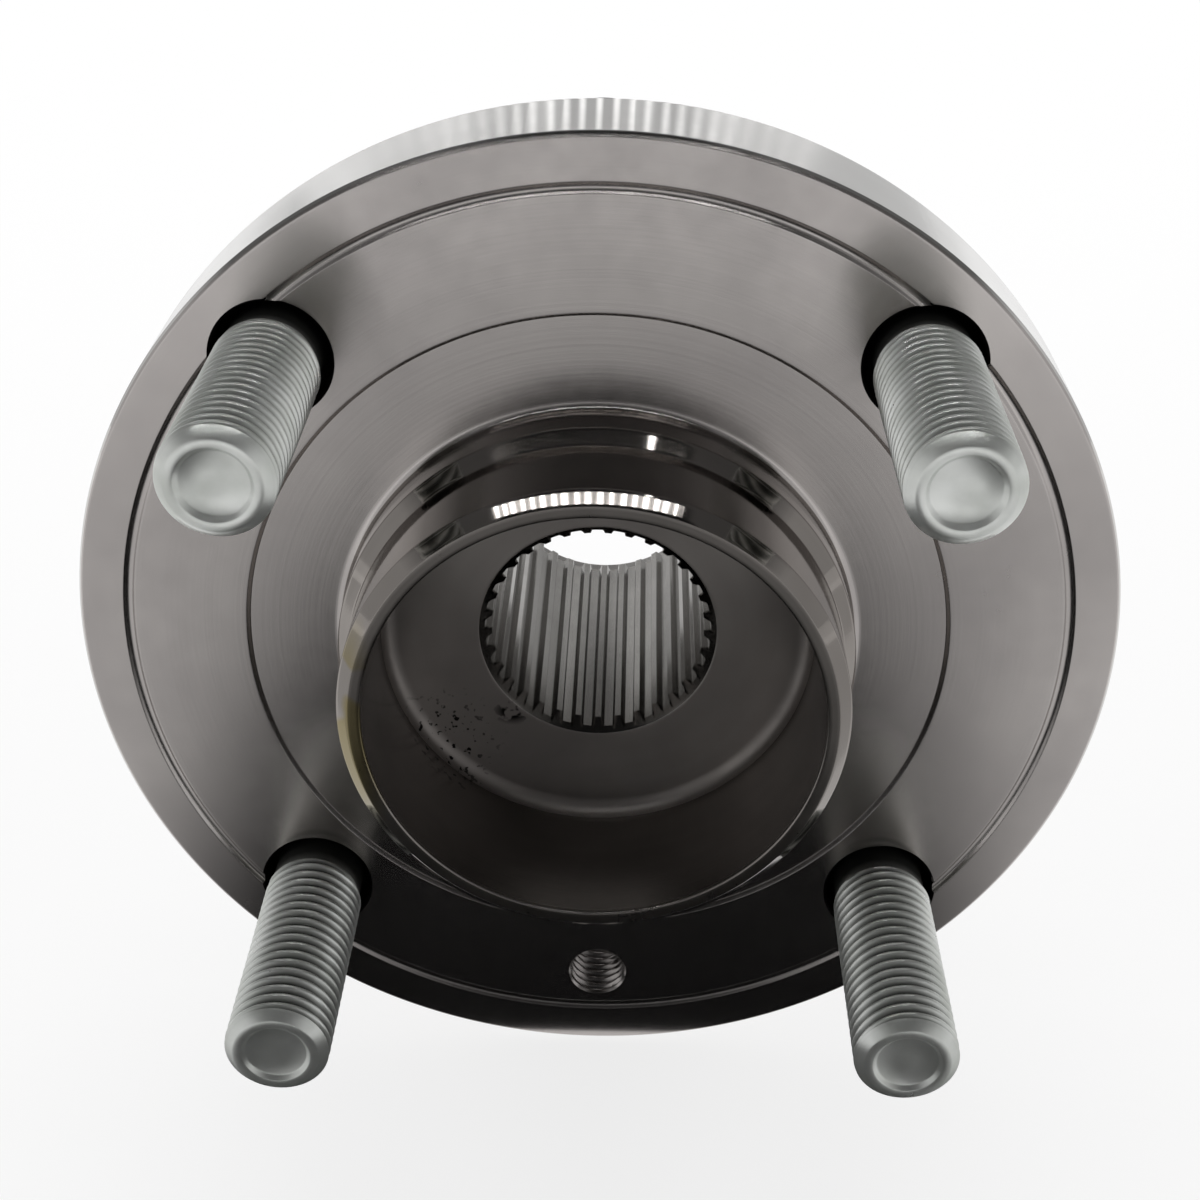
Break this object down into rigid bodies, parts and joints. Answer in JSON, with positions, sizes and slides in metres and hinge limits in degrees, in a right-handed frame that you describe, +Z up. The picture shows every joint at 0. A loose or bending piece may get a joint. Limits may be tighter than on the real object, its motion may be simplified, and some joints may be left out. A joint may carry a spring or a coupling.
{
  "type": "wheel hub bearing",
  "caption": "Driven wheel hub bearing unit: flanged splined hub with wheel studs, turning on angular contact ball rows in a flanged, sealed outer ring.",
  "frame": {"origin": "centre of the wheel flange front face, on the hub axis", "axes": "hub axis along Y with the wheel side facing -Y; Z up, with the disc screw hole at -Z; X to the right seen from the wheel side"},
  "size_m": [0.121, 0.0843, 0.121],
  "materials": {
    "hub_steel": "turned forged steel, satin, lightly oiled",
    "ring_steel": "turned and ground bearing steel",
    "ball_steel": "polished bearing steel",
    "cage_nylon": "moulded glass-filled nylon, natural colour",
    "stud_zinc": "zinc plated steel, pale grey",
    "seal_steel": "pressed sheet steel",
    "seal_rubber": "moulded nitrile rubber, matt black",
    "encoder_rubber": "magnetised rubber ring, matt dark brown"
  },
  "bodies": {
    "outer_ring": {"outer_ring": "ring_steel", "outboard_seal_case": "seal_steel", "outboard_seal_lip": "seal_rubber", "inboard_seal_case": "seal_steel", "inboard_seal_lip": "seal_rubber"},
    "hub": {"wheel_hub": "hub_steel", "inner_ring": "ring_steel", "wheel_stud_1": "stud_zinc", "wheel_stud_2": "stud_zinc", "wheel_stud_3": "stud_zinc", "wheel_stud_4": "stud_zinc", "slinger": "seal_steel", "encoder_ring": "encoder_rubber"},
    "outboard_cage": {"outboard_cage": "cage_nylon"},
    "inboard_cage": {"inboard_cage": "cage_nylon"},
    "outboard_ball_01": {"outboard_ball_01": "ball_steel"},
    "outboard_ball_02": {"outboard_ball_02": "ball_steel"},
    "outboard_ball_03": {"outboard_ball_03": "ball_steel"},
    "outboard_ball_04": {"outboard_ball_04": "ball_steel"},
    "outboard_ball_05": {"outboard_ball_05": "ball_steel"},
    "outboard_ball_06": {"outboard_ball_06": "ball_steel"},
    "outboard_ball_07": {"outboard_ball_07": "ball_steel"},
    "outboard_ball_08": {"outboard_ball_08": "ball_steel"},
    "outboard_ball_09": {"outboard_ball_09": "ball_steel"},
    "outboard_ball_10": {"outboard_ball_10": "ball_steel"},
    "outboard_ball_11": {"outboard_ball_11": "ball_steel"},
    "outboard_ball_12": {"outboard_ball_12": "ball_steel"},
    "outboard_ball_13": {"outboard_ball_13": "ball_steel"},
    "inboard_ball_01": {"inboard_ball_01": "ball_steel"},
    "inboard_ball_02": {"inboard_ball_02": "ball_steel"},
    "inboard_ball_03": {"inboard_ball_03": "ball_steel"},
    "inboard_ball_04": {"inboard_ball_04": "ball_steel"},
    "inboard_ball_05": {"inboard_ball_05": "ball_steel"},
    "inboard_ball_06": {"inboard_ball_06": "ball_steel"},
    "inboard_ball_07": {"inboard_ball_07": "ball_steel"},
    "inboard_ball_08": {"inboard_ball_08": "ball_steel"},
    "inboard_ball_09": {"inboard_ball_09": "ball_steel"},
    "inboard_ball_10": {"inboard_ball_10": "ball_steel"},
    "inboard_ball_11": {"inboard_ball_11": "ball_steel"},
    "inboard_ball_12": {"inboard_ball_12": "ball_steel"},
    "inboard_ball_13": {"inboard_ball_13": "ball_steel"}
  },
  "joints": [
    {"name": "hub_spin", "type": "hinge", "parent": "outer_ring", "child": "hub", "pos_m": [0, 0, 0], "axis": [0, 1, 0], "continuous": true},
    {"name": "outboard_cage_orbit", "type": "hinge", "parent": "outer_ring", "child": "outboard_cage", "pos_m": [0, 0.02561, 0], "axis": [0, 1, 0], "continuous": true},
    {"name": "inboard_cage_orbit", "type": "hinge", "parent": "outer_ring", "child": "inboard_cage", "pos_m": [0, 0.03861, 0], "axis": [0, 1, 0], "continuous": true},
    {"name": "outboard_ball_01_roll", "type": "hinge", "parent": "outboard_cage", "child": "outboard_ball_01", "pos_m": [0, 0.02561, 0.0285], "axis": [0, 1, 0], "continuous": true},
    {"name": "outboard_ball_02_roll", "type": "hinge", "parent": "outboard_cage", "child": "outboard_ball_02", "pos_m": [-0.01324, 0.02561, 0.02524], "axis": [0, 1, 0], "continuous": true},
    {"name": "outboard_ball_03_roll", "type": "hinge", "parent": "outboard_cage", "child": "outboard_ball_03", "pos_m": [-0.02346, 0.02561, 0.01619], "axis": [0, 1, 0], "continuous": true},
    {"name": "outboard_ball_04_roll", "type": "hinge", "parent": "outboard_cage", "child": "outboard_ball_04", "pos_m": [-0.02829, 0.02561, 0.00344], "axis": [0, 1, 0], "continuous": true},
    {"name": "outboard_ball_05_roll", "type": "hinge", "parent": "outboard_cage", "child": "outboard_ball_05", "pos_m": [-0.02665, 0.02561, -0.01011], "axis": [0, 1, 0], "continuous": true},
    {"name": "outboard_ball_06_roll", "type": "hinge", "parent": "outboard_cage", "child": "outboard_ball_06", "pos_m": [-0.0189, 0.02561, -0.02133], "axis": [0, 1, 0], "continuous": true},
    {"name": "outboard_ball_07_roll", "type": "hinge", "parent": "outboard_cage", "child": "outboard_ball_07", "pos_m": [-0.00682, 0.02561, -0.02767], "axis": [0, 1, 0], "continuous": true},
    {"name": "outboard_ball_08_roll", "type": "hinge", "parent": "outboard_cage", "child": "outboard_ball_08", "pos_m": [0.00682, 0.02561, -0.02767], "axis": [0, 1, 0], "continuous": true},
    {"name": "outboard_ball_09_roll", "type": "hinge", "parent": "outboard_cage", "child": "outboard_ball_09", "pos_m": [0.0189, 0.02561, -0.02133], "axis": [0, 1, 0], "continuous": true},
    {"name": "outboard_ball_10_roll", "type": "hinge", "parent": "outboard_cage", "child": "outboard_ball_10", "pos_m": [0.02665, 0.02561, -0.01011], "axis": [0, 1, 0], "continuous": true},
    {"name": "outboard_ball_11_roll", "type": "hinge", "parent": "outboard_cage", "child": "outboard_ball_11", "pos_m": [0.02829, 0.02561, 0.00344], "axis": [0, 1, 0], "continuous": true},
    {"name": "outboard_ball_12_roll", "type": "hinge", "parent": "outboard_cage", "child": "outboard_ball_12", "pos_m": [0.02346, 0.02561, 0.01619], "axis": [0, 1, 0], "continuous": true},
    {"name": "outboard_ball_13_roll", "type": "hinge", "parent": "outboard_cage", "child": "outboard_ball_13", "pos_m": [0.01324, 0.02561, 0.02524], "axis": [0, 1, 0], "continuous": true},
    {"name": "inboard_ball_01_roll", "type": "hinge", "parent": "inboard_cage", "child": "inboard_ball_01", "pos_m": [0, 0.03861, 0.0285], "axis": [0, 1, 0], "continuous": true},
    {"name": "inboard_ball_02_roll", "type": "hinge", "parent": "inboard_cage", "child": "inboard_ball_02", "pos_m": [-0.01324, 0.03861, 0.02524], "axis": [0, 1, 0], "continuous": true},
    {"name": "inboard_ball_03_roll", "type": "hinge", "parent": "inboard_cage", "child": "inboard_ball_03", "pos_m": [-0.02346, 0.03861, 0.01619], "axis": [0, 1, 0], "continuous": true},
    {"name": "inboard_ball_04_roll", "type": "hinge", "parent": "inboard_cage", "child": "inboard_ball_04", "pos_m": [-0.02829, 0.03861, 0.00344], "axis": [0, 1, 0], "continuous": true},
    {"name": "inboard_ball_05_roll", "type": "hinge", "parent": "inboard_cage", "child": "inboard_ball_05", "pos_m": [-0.02665, 0.03861, -0.01011], "axis": [0, 1, 0], "continuous": true},
    {"name": "inboard_ball_06_roll", "type": "hinge", "parent": "inboard_cage", "child": "inboard_ball_06", "pos_m": [-0.0189, 0.03861, -0.02133], "axis": [0, 1, 0], "continuous": true},
    {"name": "inboard_ball_07_roll", "type": "hinge", "parent": "inboard_cage", "child": "inboard_ball_07", "pos_m": [-0.00682, 0.03861, -0.02767], "axis": [0, 1, 0], "continuous": true},
    {"name": "inboard_ball_08_roll", "type": "hinge", "parent": "inboard_cage", "child": "inboard_ball_08", "pos_m": [0.00682, 0.03861, -0.02767], "axis": [0, 1, 0], "continuous": true},
    {"name": "inboard_ball_09_roll", "type": "hinge", "parent": "inboard_cage", "child": "inboard_ball_09", "pos_m": [0.0189, 0.03861, -0.02133], "axis": [0, 1, 0], "continuous": true},
    {"name": "inboard_ball_10_roll", "type": "hinge", "parent": "inboard_cage", "child": "inboard_ball_10", "pos_m": [0.02665, 0.03861, -0.01011], "axis": [0, 1, 0], "continuous": true},
    {"name": "inboard_ball_11_roll", "type": "hinge", "parent": "inboard_cage", "child": "inboard_ball_11", "pos_m": [0.02829, 0.03861, 0.00344], "axis": [0, 1, 0], "continuous": true},
    {"name": "inboard_ball_12_roll", "type": "hinge", "parent": "inboard_cage", "child": "inboard_ball_12", "pos_m": [0.02346, 0.03861, 0.01619], "axis": [0, 1, 0], "continuous": true},
    {"name": "inboard_ball_13_roll", "type": "hinge", "parent": "inboard_cage", "child": "inboard_ball_13", "pos_m": [0.01324, 0.03861, 0.02524], "axis": [0, 1, 0], "continuous": true}
  ],
  "couplings": [
    {"joint": "outboard_cage_orbit", "follows": "hub_spin", "ratio": 0.4202},
    {"joint": "inboard_cage_orbit", "follows": "hub_spin", "ratio": 0.4202},
    {"joint": "outboard_ball_01_roll", "follows": "hub_spin", "ratio": -3.0509},
    {"joint": "outboard_ball_02_roll", "follows": "hub_spin", "ratio": -3.0509},
    {"joint": "outboard_ball_03_roll", "follows": "hub_spin", "ratio": -3.0509},
    {"joint": "outboard_ball_04_roll", "follows": "hub_spin", "ratio": -3.0509},
    {"joint": "outboard_ball_05_roll", "follows": "hub_spin", "ratio": -3.0509},
    {"joint": "outboard_ball_06_roll", "follows": "hub_spin", "ratio": -3.0509},
    {"joint": "outboard_ball_07_roll", "follows": "hub_spin", "ratio": -3.0509},
    {"joint": "outboard_ball_08_roll", "follows": "hub_spin", "ratio": -3.0509},
    {"joint": "outboard_ball_09_roll", "follows": "hub_spin", "ratio": -3.0509},
    {"joint": "outboard_ball_10_roll", "follows": "hub_spin", "ratio": -3.0509},
    {"joint": "outboard_ball_11_roll", "follows": "hub_spin", "ratio": -3.0509},
    {"joint": "outboard_ball_12_roll", "follows": "hub_spin", "ratio": -3.0509},
    {"joint": "outboard_ball_13_roll", "follows": "hub_spin", "ratio": -3.0509},
    {"joint": "inboard_ball_01_roll", "follows": "hub_spin", "ratio": -3.0509},
    {"joint": "inboard_ball_02_roll", "follows": "hub_spin", "ratio": -3.0509},
    {"joint": "inboard_ball_03_roll", "follows": "hub_spin", "ratio": -3.0509},
    {"joint": "inboard_ball_04_roll", "follows": "hub_spin", "ratio": -3.0509},
    {"joint": "inboard_ball_05_roll", "follows": "hub_spin", "ratio": -3.0509},
    {"joint": "inboard_ball_06_roll", "follows": "hub_spin", "ratio": -3.0509},
    {"joint": "inboard_ball_07_roll", "follows": "hub_spin", "ratio": -3.0509},
    {"joint": "inboard_ball_08_roll", "follows": "hub_spin", "ratio": -3.0509},
    {"joint": "inboard_ball_09_roll", "follows": "hub_spin", "ratio": -3.0509},
    {"joint": "inboard_ball_10_roll", "follows": "hub_spin", "ratio": -3.0509},
    {"joint": "inboard_ball_11_roll", "follows": "hub_spin", "ratio": -3.0509},
    {"joint": "inboard_ball_12_roll", "follows": "hub_spin", "ratio": -3.0509},
    {"joint": "inboard_ball_13_roll", "follows": "hub_spin", "ratio": -3.0509}
  ]
}
